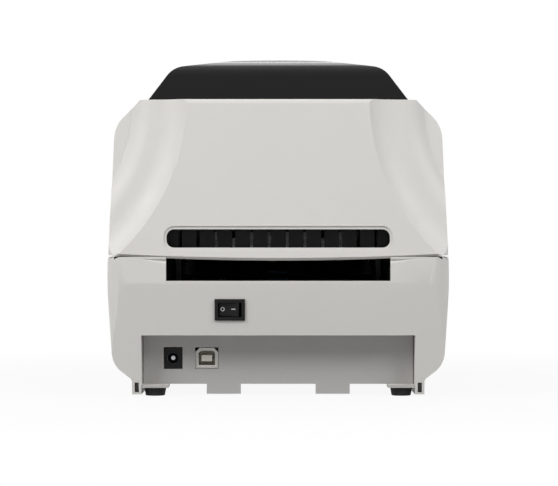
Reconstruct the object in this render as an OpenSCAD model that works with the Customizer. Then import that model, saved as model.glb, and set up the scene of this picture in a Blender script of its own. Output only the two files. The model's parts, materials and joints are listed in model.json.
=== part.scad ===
/* [Case] */
// Width of the printer, side to side across the ledge line
case_width = 178; // [176:1:214]
// Depth of the printer, front to back across the ledge line
case_depth = 265; // [260:1:318]
// Height of the ledge line round the lower case
ledge_z = 58.3; // [56:0.1:60]
// Height of the parting line between the lid and the lower case
part_z = 73; // [72:0.5:75]
// Gap between the lid and the lower case
part_gap = 0.9; // [0.6:0.1:1.5]
// Wall of the moulded covers
wall = 2.6; // [2:0.1:3]
// Height of the side skirts above the table
skirt_z = 0.9; // [0.5:0.1:2]
// Width of each side skirt rail
skirt_w = 4.9; // [4:0.1:6]
// Inward tilt of the rear wall below the ledge, in degrees
tuck_angle = 7; // [4:0.5:9]

/* [Lid] */
// Height of the flat lid rim that the window sits on
rim_z = 154.8; // [150:0.1:162]
// Forward lean of the lid's rear face, in degrees
lean = 8; // [5:0.5:9]
// Drop of the parting line from its ends to the middle
smile = 2.8; // [1.5:0.1:3.5]
// Lid opening angle, in degrees
lid_open = 95; // [80:1:95]
// Radius of the crease circle of each rear scoop
scoop_r = 113; // [105:1:120]
// Hollow radius of each rear scoop
scoop_hollow = 24; // [20:1:30]
// Slope of each rear scoop where it leaves the crease, in degrees
scoop_slope = 42; // [35:1:46]
// Width of the rear slot
slot_w = 115.8; // [100:0.1:118]
// Height of the rear slot
slot_h = 9.7; // [8:0.1:11]
// Height of the rear slot's centre
slot_z = 82; // [81:0.5:84]

/* [Window] */
// Height of the top of the window
window_z = 182.2; // [176:0.1:196]
// Half width of the window where it meets the lid
window_half = 68.4; // [60:0.1:70]
// Thickness of the window
window_wall = 2.2; // [1.8:0.1:3]

/* [Rear ports] */
// Width of the rear recess for the ports
recess_w = 142; // [130:1:142]
// Height of the recess ceiling
recess_z = 31.7; // [29:0.1:34]
// Distance of the port panel from the rear of the printer
recess_depth = 16; // [13:0.5:20]
// Height of the centres of both ports
port_z = 19.3; // [18:0.1:20]
// Sideways place of the power jack
jack_x = 55; // [52:0.5:56]
// Sideways place of the data port
usb_x = 37.4; // [32:0.1:40]
// Width of the data port's shell
usb_w = 11.8; // [11:0.1:12.5]
// Height of the data port's shell
usb_h = 10.7; // [10:0.1:11.5]
// Sideways place of the power switch
switch_x = 25; // [15:1:35]
// Height of the power switch
switch_z = 45; // [43:0.5:48]
// Width of the switch bezel
switch_w = 15.7; // [14:0.1:18]
// Height of the switch bezel
switch_h = 11.2; // [10:0.1:12]
// Angle between the switch's two positions
rock_angle = 22; // [16:1:24]

/* [Media path] */
// Clear width of the media bay
bay_width = 116; // [112:1:118]
// Wall of the inner frame
frame_wall = 2.5; // [2:0.1:3]
// Radius of the cradle under the media roll
cradle_r = 66; // [60:0.5:66]
// Distance of the roll's centre from the rear of the printer
roll_back = 102.5; // [100:0.5:110]
// Height of the media opening's sill in the rear wall
sill_z = 59.9; // [59:0.1:62]
// Radius of the hub flanges
hub_r = 19; // [16:0.5:22]
// Radius of the hub bosses that enter the roll's core
core_r = 12.5; // [9:0.1:13]
// Travel of each media guide
guide_travel = 39.5; // [20:0.5:39.5]

/* [Print unit] */
// Distance of the platen's centre from the front of the printer
platen_back = 19; // [18:0.5:22]
// Depth of the platen's centre below the parting line
platen_drop = 6.5; // [5:0.1:8]
// Radius of the platen's rubber
platen_r = 7.5; // [6.5:0.1:8]
// Radius of the platen's steel shaft
platen_shaft_r = 3; // [2.5:0.1:3.2]
// Radius of the cam shaft's cams
cam_r = 3.5; // [3.2:0.1:4]
// Throw of the cams
cam_throw = 1.3; // [1:0.1:1.5]
// Length of the head lever
lever_l = 34; // [28:1:40]

/* [Drive] */
// Module of the drive gears
gear_m = 0.8; // [0.75:0.05:0.85]
// Teeth of the motor pinion
motor_teeth = 16; // [15:1:17]
// Teeth of the idler's large gear
idler_teeth = 44; // [43:1:46]
// Teeth of the idler's small gear
idler_small_teeth = 18; // [17:1:19]
// Teeth of the platen gear
platen_teeth = 30; // [29:1:31]
// Width of the stepper motor's square body
motor_w = 35; // [30:0.5:36]
// Module of the guide racks and their pinion
rack_m = 1; // [0.9:0.05:1.1]
// Teeth of the guide pinion
pinion_teeth = 18; // [16:1:20]
// Thinning of each tooth flank for free running
gear_play = 0.1; // [0.05:0.01:0.15]

/* [Fits] */
// Radial clearance of a running fit
run_fit = 0.05; // [0.02:0.01:0.1]
// Radial clearance of a pressed or seated round part
seat_fit = 0.02; // [0.01:0.01:0.05]
// Gap between parts that pass each other
free_gap = 0.3; // [0.3:0.05:0.5]
// Radius of the lid's hinge pins
hinge_pin_r = 1.5; // [1.2:0.1:1.6]

/* [Hidden] */
$fn = 64;
arc_step = 6;
over = 1;
pressure_angle = 20;

half_w = case_width / 2;
rear_y = case_depth / 2;
front_y = -rear_y;
case_top_z = part_z + 0.2 - part_gap;
side_draft = 0.4;

// Lower case section and corners
belly_x = half_w - 3.2;
belly_z = 16.3;
belly_round = 13;
skirt_x = half_w - 13.1;
skirt_top_z = 8.6;
skirt_round = 3;
skirt_in = skirt_x - skirt_w;
case_rear_low = rear_y - (ledge_z - skirt_z) * tan(tuck_angle);
case_rear_top = rear_y - 1.5;
case_front_low = front_y + 3;
case_front_top = front_y + 1.5;
rear_corner = 12;
front_corner = 20;

// Lid section and corners
lid_rear_y = rear_y - 1.9;
lid_side_x = half_w - 0.3;
shoulder_x = half_w - 2.8;
shoulder_z = rim_z - 13.7;
shoulder_round = 17;
rim_x = half_w - 16.3;
rim_rear_y = lid_rear_y - (rim_z - part_z) * tan(lean);
lid_front_y = front_y + 1.9;
lid_brow_y = front_y + 5.5;
lid_brow_z = part_z + 38;
rim_front_y = front_y + 46;

// Lid hinge
hinge_rise = 7.5;
hinge_inset = 6;
hinge_z = part_z + hinge_rise;
hinge_y = lid_rear_y - hinge_rise * tan(lean) - hinge_inset / cos(lean);
knuckle_r = 2.8;
arm_in = bay_width / 2 + 8;
arm_w = 4;
knuckle_w = 3.6;
lip_chamfer = 1.2;
smile_r = pow(half_w, 2) / (2 * smile);
smile_low_z = part_z + 0.2 - smile;

// Chassis and ports
floor_z = 5.8;
floor_t = 2.5;
floor_top = floor_z + floor_t;
panel_y = rear_y - recess_depth;
panel_t = 2;
jack_w = 9.4;
jack_h = 11;
jack_l = 14;
board_t = 1.6;
rocker_pivot = -2.6;
board_top = port_z - jack_h / 2 - 0.1;
foot_r = 5.8;
foot_x = half_w - 24.8;
foot_rear_y = rear_y - 14;
foot_front_y = front_y + 26;
pad_t = 1.5;
tab_w = 17.8;
tab_x = 28.5;

// Inner frame
bay_half = bay_width / 2;
frame_out = bay_half + frame_wall;
roll_y = rear_y - roll_back;
roll_z = part_z + 14;
cradle_t = 2.2;
deck_z = sill_z + 1.3;
deck_t = 2.2;

// Print unit
platen_y = front_y + platen_back;
platen_z = part_z - platen_drop;
platen_half = bay_half - 2;
bushing_r = 5.5;
head_pivot_y = platen_y + 33.5;
head_pivot_z = platen_z + 23.5;
head_lift = 4;
head_low_z = platen_z + platen_r + free_gap;
ceramic_t = 1;
sink_t = 5;
bracket_t = 1.6;
bracket_z = head_low_z + ceramic_t + sink_t;
ear_out = bay_half - 3;
pivot_r = 2;
cam_y = platen_y + 15.5;
cam_z = platen_z + 22.5;
cam_shaft_r = 2.5;
cam_turn = 80;
bridge_z = platen_z + 32.3;

// Drive train
motor_y = platen_y + 29.5;
motor_z = platen_z - 29.5;
motor_l = 32;
boss_r = 11;
train_in = frame_out + 1.2;
gear_w = 3.2;
gear_gap = 0.4;
reach_motor = gear_m * (motor_teeth + idler_teeth) / 2;
reach_platen = gear_m * (idler_small_teeth + platen_teeth) / 2;
reach = norm([platen_y - motor_y, platen_z - motor_z]);
reach_angle = atan2(platen_z - motor_z, platen_y - motor_y)
    - acos((pow(reach_motor, 2) + pow(reach, 2) - pow(reach_platen, 2)) / (2 * reach_motor * reach));
idler_y = motor_y + reach_motor * cos(reach_angle);
idler_z = motor_z + reach_motor * sin(reach_angle);
platen_angle = atan2(platen_z - idler_z, platen_y - idler_y);
stud_r = 2.5;

// Media guides
guide_t = 3;
guide_out = bay_half - 1;
guide_in = guide_out - guide_t;
guide_slot = 7;
rack_z = floor_top + 3.2;
rack_t = 4.5;
rack_reach = rack_m * pinion_teeth / 2;
rack_back = 4;
hub_pin_r = 4;
hub_flange_t = 2.4;
hub_boss_l = 9.3;

// Front panel and controls
front_half = bay_half + 2;
front_panel_y = front_y + 2.1;
front_panel_t = 3;
front_low_z = 16;
exit_z = part_z + 6.5;
button_x = 44;
button_z = 40;
button_r = 6;
button_travel = 1;
lens_r = 2;
lens_z = 52;

// Sensor
sensor_y = roll_y - 82;
sensor_travel = 34;
sensor_l = 12;
sensor_neck = 7.4;

cover_grey = [0.80, 0.80, 0.78];
panel_grey = [0.55, 0.55, 0.54];
black = [0.08, 0.08, 0.08];
steel = [0.72, 0.73, 0.75];
gear_white = [0.90, 0.89, 0.84];

// Direction from one corner to its neighbour, as a unit vector.
function heading(from, to) = [to[0] - from[0], to[1] - from[1]] / norm([to[0] - from[0], to[1] - from[1]]);
function wrapped(a) = a > 180 ? a - 360 : a < -180 ? a + 360 : a;

// Points that round corner b of a path, between its neighbours a and c.
function corner(a, b, c) =
    b[2] == 0 ? [[b[0], b[1]]] :
    let (
        at = [b[0], b[1]],
        u = heading(b, a),
        v = heading(b, c),
        h = acos(u * v) / 2,
        centre = at + (u + v) / norm(u + v) * b[2] / sin(h),
        s = at + u * b[2] / tan(h) - centre,
        e = at + v * b[2] / tan(h) - centre,
        start = atan2(s[1], s[0]),
        sweep = wrapped(atan2(e[1], e[0]) - start),
        n = ceil(abs(sweep) / arc_step)
    )
    [for (i = [0:n]) centre + b[2] * [cos(start + sweep * i / n), sin(start + sweep * i / n)]];

// A closed path through [x, y, radius] corners, each rounded by its own radius.
function rounded(p) = [
    for (i = [0:len(p) - 1])
        each corner(p[(i + len(p) - 1) % len(p)], p[i], p[(i + 1) % len(p)])
];
function mirrored(half) = [for (i = [len(half) - 1:-1:0]) [-half[i][0], half[i][1], half[i][2]]];
function both_sides(half) = concat(half, mirrored(half));

// Outline of an involute gear with one tooth centred on the first axis.
function roll_angle(r, base_r) = let (a = acos(min(1, base_r / r))) tan(a) * 180 / PI - a;
function flank(m, teeth, side, root_r, tip_r) =
    let (
        pitch_r = m * teeth / 2,
        base_r = pitch_r * cos(pressure_angle),
        half_tooth = 90 / teeth - gear_play / pitch_r * 180 / PI + roll_angle(pitch_r, base_r),
        low_r = max(root_r, base_r),
        rs = [root_r, low_r + 0.001, (low_r + pitch_r) / 2, pitch_r, (pitch_r + tip_r) / 2, tip_r]
    )
    [for (i = [0:5]) let (r = side > 0 ? rs[5 - i] : rs[i]) [
        r, side * (half_tooth - roll_angle(max(r, base_r), base_r))
    ]];
function gear_path(m, teeth) = [
    for (t = [0:teeth - 1], side = [-1, 1])
        let (pitch_r = m * teeth / 2)
        for (p = flank(m, teeth, side, pitch_r - 1.15 * m, pitch_r + 0.9 * m))
            p[0] * [cos(360 * t / teeth + p[1]), sin(360 * t / teeth + p[1])]
];

// Extrusions of a drawing along each axis: (x, z), (y, z) and (x, y).
module along_y(y0, y1) {
    translate([0, y1, 0])
        rotate([90, 0, 0])
        linear_extrude(y1 - y0)
        children();
}
module along_x(x0, x1) {
    translate([x0, 0, 0])
        rotate([90, 0, 90])
        linear_extrude(x1 - x0)
        children();
}
module along_z(z0, z1) {
    translate([0, 0, z0])
        linear_extrude(z1 - z0)
        children();
}
// A rod along X or Y between two stations, at a place across it.
module rod_x(x0, x1, y, z, r) {
    translate([x0, y, z])
        rotate([0, 90, 0])
        cylinder(h = x1 - x0, r = r);
}
module rod_y(y0, y1, x, z, r) {
    translate([x, y1, z])
        rotate([90, 0, 0])
        cylinder(h = y1 - y0, r = r);
}
// A box between two opposite corners.
module block(low, high) {
    translate(low)
        cube(high - low);
}
module both_x() {
    children();
    mirror([1, 0, 0])
        children();
}
// A place on the tucked rear wall below the ledge, with local Y pointing out.
module on_rear_wall(x, z) {
    translate([x, rear_y - (ledge_z - z) * tan(tuck_angle), z])
        rotate([-tuck_angle, 0, 0])
        children();
}
// A place on the lid's leaning rear face, with local Y pointing out.
module on_lid_face(x, z) {
    translate([x, lid_rear_y - (z - part_z) * tan(lean), z])
        rotate([lean, 0, 0])
        children();
}

// The lower case as a solid, drawn in by an inset on every side.
module case_solid(inset) {
    section = both_sides([
        [half_w - side_draft, part_z + 12, 0],
        [half_w, ledge_z, 0],
        [belly_x, belly_z, belly_round],
        [skirt_x, skirt_top_z, skirt_round],
        [skirt_x, skirt_z, 0]
    ]);
    side = [
        [case_rear_top, part_z + 12, 0],
        [rear_y, ledge_z, 0],
        [case_rear_low, skirt_z, 0],
        [case_front_low, skirt_z, 12],
        [front_y, ledge_z, 0],
        [case_front_top, part_z + 12, 0]
    ];
    plan = both_sides([
        [half_w, rear_y, rear_corner],
        [half_w, front_y, front_corner]
    ]);
    intersection() {
        along_y(front_y, rear_y)
            offset(delta = -inset)
            polygon(rounded(section));
        along_x(-half_w, half_w)
            offset(delta = -inset)
            polygon(rounded(side));
        along_z(0, part_z + 12)
            offset(delta = -inset)
            polygon(rounded(plan));
    }
}

module recess_hood() {
    difference() {
        block([-recess_w / 2 - 2, panel_y - panel_t, skirt_z],
            [recess_w / 2 + 2, rear_y, recess_z + 2]);
        block([-recess_w / 2, panel_y - panel_t - over, 0], [recess_w / 2, rear_y + over, recess_z]);
    }
}

// Room that the lid's lower edge sweeps through at the hinge.
module hinge_cove() {
    rod_x(-half_w - over, half_w + over, hinge_y, hinge_z, norm([hinge_inset, hinge_rise]) + free_gap);
    rod_x(4 - half_w, half_w - 4, hinge_y, hinge_z, norm([hinge_inset, hinge_rise + smile / 2]) + 0.5);
}

module lower_cover() {
    color(cover_grey)
        difference() {
            union() {
                difference() {
                    case_solid(0);
                    difference() {
                        case_solid(wall);
                        both_x()
                            block([skirt_in, front_y, 0], [half_w, rear_y, skirt_top_z + 3]);
                    }
                }
                intersection() {
                    case_solid(0);
                    recess_hood();
                }
                both_x()
                    block([foot_x - foot_r - 1.2, foot_rear_y - 7, floor_z - pad_t],
                        [skirt_in + over, foot_rear_y + 7, floor_z]);
            }
            block([-half_w - over, front_y - over, case_top_z],
                [half_w + over, rear_y + over, part_z + 13]);
            block([-skirt_in, front_y + 9, 0], [skirt_in, panel_y, skirt_top_z + 2]);
            difference() {
                block([-skirt_in, panel_y - over, 0], [skirt_in, rear_y + over, floor_z + over]);
                both_x()
                    block([foot_x - foot_r - 1.2, foot_rear_y - 7, floor_z - pad_t],
                        [skirt_in + over, foot_rear_y + 7, floor_z]);
            }
            block([-recess_w / 2, panel_y - 5, floor_z], [recess_w / 2, rear_y + over, recess_z]);
            block([-bay_half, rear_y - 8, sill_z], [bay_half, rear_y + over, part_z + over]);
            block([-front_half, front_y - over, front_low_z], [front_half, front_y + 8, part_z + over]);
            on_rear_wall(switch_x, switch_z)
                block([-switch_w / 2 + 1, -wall - 2, -switch_h / 2 + 1],
                    [switch_w / 2 - 1, over, switch_h / 2 - 1]);
            both_x()
                block([skirt_x - 3.5, case_rear_low - 8, skirt_z + over],
                    [skirt_x - 1.3, rear_y, skirt_z + 6.2]);
            hinge_cove();
            opening_chamfer();
        }
}

// Falling chamfer on the rear wall's top edge, deepest beside the opening.
module opening_chamfer() {
    fall_r = 561;
    translate([0, case_rear_top + 0.3, case_top_z - pow(half_w, 2) / (2 * fall_r)])
        rotate([-45, 0, 0])
        translate([0, 8, fall_r])
        rotate([90, 0, 0])
        cylinder(h = 12, r = fall_r, $fn = 360);
}

module base_chassis() {
    hole_clear = 0.2;
    color(panel_grey)
        difference() {
            union() {
                block([-skirt_in + 0.4, front_y + 10, floor_z], [skirt_in - 0.4, panel_y - panel_t, floor_top]);
                block([-recess_w / 2 + 0.4, panel_y - panel_t, floor_z],
                    [recess_w / 2 - 0.4, panel_y, recess_z - 0.5]);
                both_x()
                    block([tab_x - tab_w / 2, panel_y - 3, 0.6], [tab_x + tab_w / 2, panel_y, floor_z]);
                both_x()
                    translate([foot_x, foot_front_y, floor_z - pad_t])
                    cylinder(h = pad_t, r = foot_r + 0.5);
                for (x = [-36, 62], y = [panel_y - 46, panel_y - 8])
                    translate([x, y, floor_z])
                        cylinder(h = board_top - board_t - floor_z, r = 3);
                rack_rails();
                translate([0, roll_y, floor_z])
                    cylinder(h = rack_z - floor_z - free_gap, r = 6);
                translate([0, roll_y, floor_z])
                    cylinder(h = rack_z + rack_t - floor_z, r = 2.5);
            }
            block([jack_x - jack_w / 2 - hole_clear, panel_y - 5, port_z - jack_h / 2 - hole_clear],
                [jack_x + jack_w / 2 + hole_clear, panel_y + over, port_z + jack_h / 2 + hole_clear]);
            block([usb_x - usb_w / 2 - hole_clear, panel_y - 5, port_z - usb_h / 2 - hole_clear],
                [usb_x + usb_w / 2 + hole_clear, panel_y + over, port_z + usb_h / 2 + hole_clear]);
        }
}

// Ledges that the two guide racks slide on, with an outer fence each.
module rack_rails() {
    rail_y = rack_reach + 1.2 * rack_m;
    for (side = [-1, 1])
        translate([0, roll_y, 0])
            scale([1, side, 1]) {
                block([-bay_half + 2, rail_y + 0.6, floor_z],
                    [bay_half - 2, rail_y + rack_back - 0.6, rack_z - free_gap]);
                block([-bay_half + 2, rail_y + rack_back + free_gap, floor_z],
                    [bay_half - 2, rail_y + rack_back + free_gap + 1.6, rack_z + 3]);
            }
}

module foot(x, y) {
    color(black)
        translate([x, y, 0])
        difference() {
            cylinder(h = floor_z - pad_t, r1 = foot_r - 0.8, r2 = foot_r);
            translate([0, 0, -over])
                cylinder(h = over + 1, r = 2);
        }
}
module foot_rear_left() {
    foot(foot_x, foot_rear_y);
}
module foot_rear_right() {
    foot(-foot_x, foot_rear_y);
}
module foot_front_left() {
    foot(foot_x, foot_front_y);
}
module foot_front_right() {
    foot(-foot_x, foot_front_y);
}

// Outline of each side wall of the inner frame.
module frame_side() {
    polygon(rounded([
        [rear_y - 10, sill_z - 4, 0],
        [rear_y - 10, part_z - 7, 2],
        [rear_y - 24, part_z - 7, 2],
        [rear_y - 28, part_z - 2, 3],
        [head_pivot_y + 28, part_z - 2, 8],
        [head_pivot_y + 14, bridge_z + 2, 6],
        [cam_y - 15, bridge_z + 2, 6],
        [platen_y - 10, platen_z + 18, 5],
        [platen_y - 10, platen_z - 10, 5],
        [platen_y + 8, floor_top, 0],
        [roll_y + 24, floor_top, 0],
        [roll_y + 34, 31, 6],
        [panel_y - 14, 38, 10]
    ]));
}

module hinge_arm() {
    along_x(arm_in, arm_in + arm_w)
        difference() {
            union() {
                polygon(rounded([
                    [hinge_y, hinge_z - knuckle_r, 0],
                    [hinge_y, hinge_z + knuckle_r, 0],
                    [hinge_y - 22, hinge_z + knuckle_r, 4],
                    [hinge_y - 26, part_z - 28, 3],
                    [hinge_y - 16, part_z - 28, 3],
                    [hinge_y - 11.5, hinge_z - knuckle_r - 8, 3],
                    [hinge_y - 11.5, hinge_z - knuckle_r, 1]
                ]));
                translate([hinge_y, hinge_z])
                    circle(r = knuckle_r);
            }
            translate([hinge_y, hinge_z])
                circle(r = hinge_pin_r + seat_fit);
        }
    block([frame_out - over, hinge_y - 25, part_z - 26], [arm_in + over, hinge_y - 18, part_z - 7]);
}

module media_frame() {
    color(black)
        difference() {
            union() {
                both_x()
                    along_x(bay_half, frame_out)
                    frame_side();
                cradle();
                both_x()
                    hinge_arm();
                both_x()
                    for (y = [platen_y + 12, roll_y - 6])
                        block([bay_half, y, floor_top], [frame_out + 6, y + 10, floor_top + 2.5]);
            }
            frame_bores();
            both_x()
                block([guide_in - guide_travel - 6, roll_y - guide_slot / 2, roll_z - cradle_r - 5],
                    [bay_half - 0.4, roll_y + guide_slot / 2, roll_z - cradle_r + 3]);
            block([-sensor_travel - sensor_l / 2 - 1, sensor_y - sensor_neck / 2 - free_gap, deck_z - 5],
                [sensor_travel + sensor_l / 2 + 1, sensor_y + sensor_neck / 2 + free_gap, deck_z + over]);
        }
}

// Round cradle under the roll, the sill behind it and the label deck before it.
module cradle() {
    along_x(-bay_half - over, bay_half + over)
        union() {
            difference() {
                translate([roll_y, roll_z])
                    circle(r = cradle_r + cradle_t, $fn = 180);
                translate([roll_y, roll_z])
                    circle(r = cradle_r, $fn = 180);
                translate([roll_y - 100, sill_z - cradle_t])
                    square([200, 200]);
            }
            polygon([
                [rear_y - 8, sill_z - cradle_t],
                [rear_y - 8, sill_z],
                [roll_y + cradle_edge(sill_z), sill_z],
                [roll_y + cradle_edge(sill_z - cradle_t), sill_z - cradle_t]
            ]);
            polygon([
                [roll_y - cradle_edge(deck_z - deck_t), deck_z - deck_t],
                [roll_y - cradle_edge(deck_z), deck_z],
                [sensor_y - 10, deck_z],
                [platen_y + platen_r + 3, platen_z + 4],
                [platen_y + platen_r + 3, platen_z + 4 - deck_t],
                [sensor_y - 10, deck_z - deck_t]
            ]);
        }
    for (x = [-45:18:45])
        intersection() {
            along_x(x - 0.8, x + 0.8)
                polygon([
                    [roll_y + 52, sill_z - over],
                    [roll_y + cradle_edge(sill_z) - over, sill_z - over],
                    [rear_y - 14, sill_z - over],
                    [rear_y - 14, sill_z - 6]
                ]);
            block([-bay_half, roll_y, sill_z - 8], [bay_half, rear_y, sill_z]);
        }
}
function cradle_edge(z) = sqrt(pow(cradle_r + 0.2, 2) - pow(roll_z - z, 2));

module frame_bores() {
    rod_x(-frame_out - over, frame_out + over, platen_y, platen_z, bushing_r + seat_fit);
    rod_x(-frame_out - over, frame_out + over, head_pivot_y, head_pivot_z, pivot_r + seat_fit);
    rod_x(-frame_out - over, frame_out + over, cam_y, cam_z, cam_shaft_r + run_fit);
    rod_x(bay_half - over, frame_out + over, motor_y, motor_z, boss_r + seat_fit);
    rod_x(bay_half - over, frame_out + over, idler_y, idler_z, stud_r + seat_fit);
}

module front_cover() {
    color(panel_grey * 0.5)
        difference() {
            union() {
                block([-front_half + free_gap, front_panel_y, front_low_z + free_gap],
                    [front_half - free_gap, front_panel_y + front_panel_t, part_z - 1.2]);
                block([-bay_half + 1, front_panel_y, part_z - 5],
                    [bay_half - 1, platen_y - platen_r - 2.2, part_z - 1.2]);
                for (x = [button_x - 8, button_x + 8])
                    block([x - 1.5, front_panel_y, 31], [x + 1.5, front_y + 11, 34]);
            }
            rod_y(front_y, front_panel_y + front_panel_t + over, button_x, button_z, button_r + 0.25);
            rod_y(front_y, front_panel_y + front_panel_t + over, button_x, lens_z, lens_r);
            block([-40, front_y, front_low_z + 6], [10, front_panel_y + 0.8, front_low_z + 8]);
        }
}

// Saw-toothed steel strip that the label is torn against.
module tear_bar() {
    teeth = 37;
    pitch = (bay_width - 5) / teeth;
    y0 = front_panel_y + 0.8;
    color(steel)
        along_z(part_z - 1.2, part_z - 0.4)
        polygon(concat(
            [for (i = [0:teeth - 1], p = [[0, 1.1], [0.5, 0]]) [(i + p[0] - teeth / 2) * pitch, y0 + p[1]]],
            [[teeth / 2 * pitch, y0 + 1.1], [teeth / 2 * pitch, y0 + 5.6], [-teeth / 2 * pitch, y0 + 5.6]]
        ));
}

module key_board() {
    y0 = front_y + 11;
    color([0.10, 0.35, 0.18])
        union() {
            block([button_x - 11, y0, 30], [button_x + 11, y0 + board_t, 58]);
            block([button_x - 3, front_panel_y + front_panel_t + button_travel + 1.4, button_z - 3],
                [button_x + 3, y0, button_z + 3]);
            block([button_x - 1.5, y0 - 1.5, lens_z - 1.5], [button_x + 1.5, y0, lens_z + 1.5]);
        }
}

module status_lens() {
    color([0.25, 0.75, 0.35])
        rod_y(front_panel_y - 0.3, front_y + 9.3, button_x, lens_z, lens_r);
}

module feed_button() {
    back_y = front_panel_y + front_panel_t + free_gap;
    color(cover_grey)
        union() {
            rod_y(front_panel_y - 1.4, back_y, button_x, button_z, button_r);
            rod_y(back_y, back_y + 0.8, button_x, button_z, button_r + 1.4);
        }
}

module switch_housing() {
    depth = 17;
    rim = 0.8;
    color(black)
        on_rear_wall(switch_x, switch_z)
        difference() {
            union() {
                block([-switch_w / 2, 0, -switch_h / 2], [switch_w / 2, rim, switch_h / 2]);
                block([-switch_w / 2 + 1.2, -depth, -switch_h / 2 + 1.2],
                    [switch_w / 2 - 1.2, 0, switch_h / 2 - 1.2]);
                for (x = [-4.5, 0, 4.5])
                    block([x - 0.4, -depth - 6, -1.8], [x + 0.4, -depth, 1.8]);
            }
            block([-switch_w / 2 + 1.8, -8.5, -switch_h / 2 + 1.8],
                [switch_w / 2 - 1.8, rim + over, switch_h / 2 - 1.8]);
            rocker_axle(1.2 + run_fit, switch_h - 2.6);
        }
}
module rocker_axle(r, l) {
    translate([0, rocker_pivot, -l / 2])
        cylinder(h = l, r = r);
}

// Rocker with two pad faces that meet over its axle, resting on the O side.
module switch_rocker() {
    reach = switch_w / 2 - 2.65;
    color(black)
        on_rear_wall(switch_x, switch_z)
        union() {
            translate([0, rocker_pivot, 0])
                rotate([0, 0, -rock_angle / 2])
                along_z(-switch_h / 2 + 2.1, switch_h / 2 - 2.1)
                polygon(rounded([
                    [-reach, 2.8, 0.3],
                    [0, 2.1, 0],
                    [reach, 2.8, 0.3],
                    [reach - 0.2, -2, 0.5],
                    [0, -4, 1],
                    [-reach + 0.2, -2, 0.5]
                ]));
            rocker_axle(1.2, switch_h - 3);
        }
}

module main_board() {
    color([0.10, 0.35, 0.18])
        difference() {
            block([-40, panel_y - 50, board_top - board_t], [66, panel_y - panel_t - 0.5, board_top]);
            for (x = [-36, 62], y = [panel_y - 46, panel_y - 8])
                translate([x, y, 0])
                    cylinder(h = board_top + over, r = 1.6);
        }
}

// Tall parts on the board: capacitors, chips, heatsink and plug headers.
module board_parts() {
    color([0.15, 0.15, 0.17])
        union() {
            for (x = [-28, -17])
                translate([x, panel_y - 10, board_top])
                    cylinder(h = 11, r = 4);
            block([-14, panel_y - 40, board_top], [4, panel_y - 22, board_top + 1.4]);
            block([12, panel_y - 42, board_top], [22, panel_y - 30, board_top + 1.2]);
            block([-8, panel_y - 14, board_top], [8, panel_y - 8, board_top + 6]);
            block([30, panel_y - 44, board_top], [52, panel_y - 38, board_top + 5]);
            block([-34, panel_y - 38, board_top], [-24, panel_y - 24, board_top + 7]);
            block([12, panel_y - 12, board_top], [22, panel_y - 7, board_top + 7]);
        }
}

module jack_body() {
    y0 = panel_y - jack_l;
    color(black)
        difference() {
            block([jack_x - jack_w / 2, y0, port_z - jack_h / 2],
                [jack_x + jack_w / 2, panel_y + 0.2, port_z + jack_h / 2]);
            rod_y(panel_y - 10, panel_y + over, jack_x, port_z, 3.2);
            rod_y(panel_y - 0.6, panel_y + over, jack_x, port_z, 4);
        }
}
module jack_pin() {
    color(steel)
        rod_y(panel_y - 10, panel_y - 1.2, jack_x, port_z, 1.05);
}

// Square data port: folded metal shell with its two upper corners cut.
module usb_outline(inset) {
    cut = 2.2;
    offset(delta = -inset)
        polygon([
            [usb_x - usb_w / 2, port_z - usb_h / 2],
            [usb_x + usb_w / 2, port_z - usb_h / 2],
            [usb_x + usb_w / 2, port_z + usb_h / 2 - cut],
            [usb_x + usb_w / 2 - cut, port_z + usb_h / 2],
            [usb_x - usb_w / 2 + cut, port_z + usb_h / 2],
            [usb_x - usb_w / 2, port_z + usb_h / 2 - cut]
        ]);
}
module usb_shell() {
    color(steel)
        difference() {
            along_y(panel_y - 16, panel_y + 0.3)
                usb_outline(0);
            along_y(panel_y - 15.5, panel_y + over)
                usb_outline(0.5);
        }
}
module usb_tongue() {
    color([0.88, 0.87, 0.83])
        difference() {
            along_y(panel_y - 15.5, panel_y - 0.3)
                usb_outline(0.5);
            difference() {
                along_y(panel_y - 10, panel_y)
                    usb_outline(1.6);
                block([usb_x - 2.8, panel_y - 11, port_z - 1.7],
                    [usb_x + 2.8, panel_y - 0.8, port_z + 1.5]);
            }
        }
}

module stepper_motor() {
    corner_cut = 4;
    color(steel * 0.6)
        difference() {
            union() {
                along_x(bay_half - motor_l, bay_half)
                    translate([motor_y, motor_z])
                    polygon(rounded([
                        [motor_w / 2, motor_w / 2, corner_cut],
                        [-motor_w / 2, motor_w / 2, corner_cut],
                        [-motor_w / 2, -motor_w / 2, corner_cut],
                        [motor_w / 2, -motor_w / 2, corner_cut]
                    ]));
                rod_x(bay_half, bay_half + 2, motor_y, motor_z, boss_r);
            }
            rod_x(bay_half - 12, bay_half + 3, motor_y, motor_z, stud_r + run_fit);
            for (x = [bay_half - motor_l + 9, bay_half - 10])
                along_x(x, x + 0.8)
                    translate([motor_y, motor_z])
                    difference() {
                        square(motor_w + 2, center = true);
                        square(motor_w - 1, center = true);
                    }
        }
}

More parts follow.
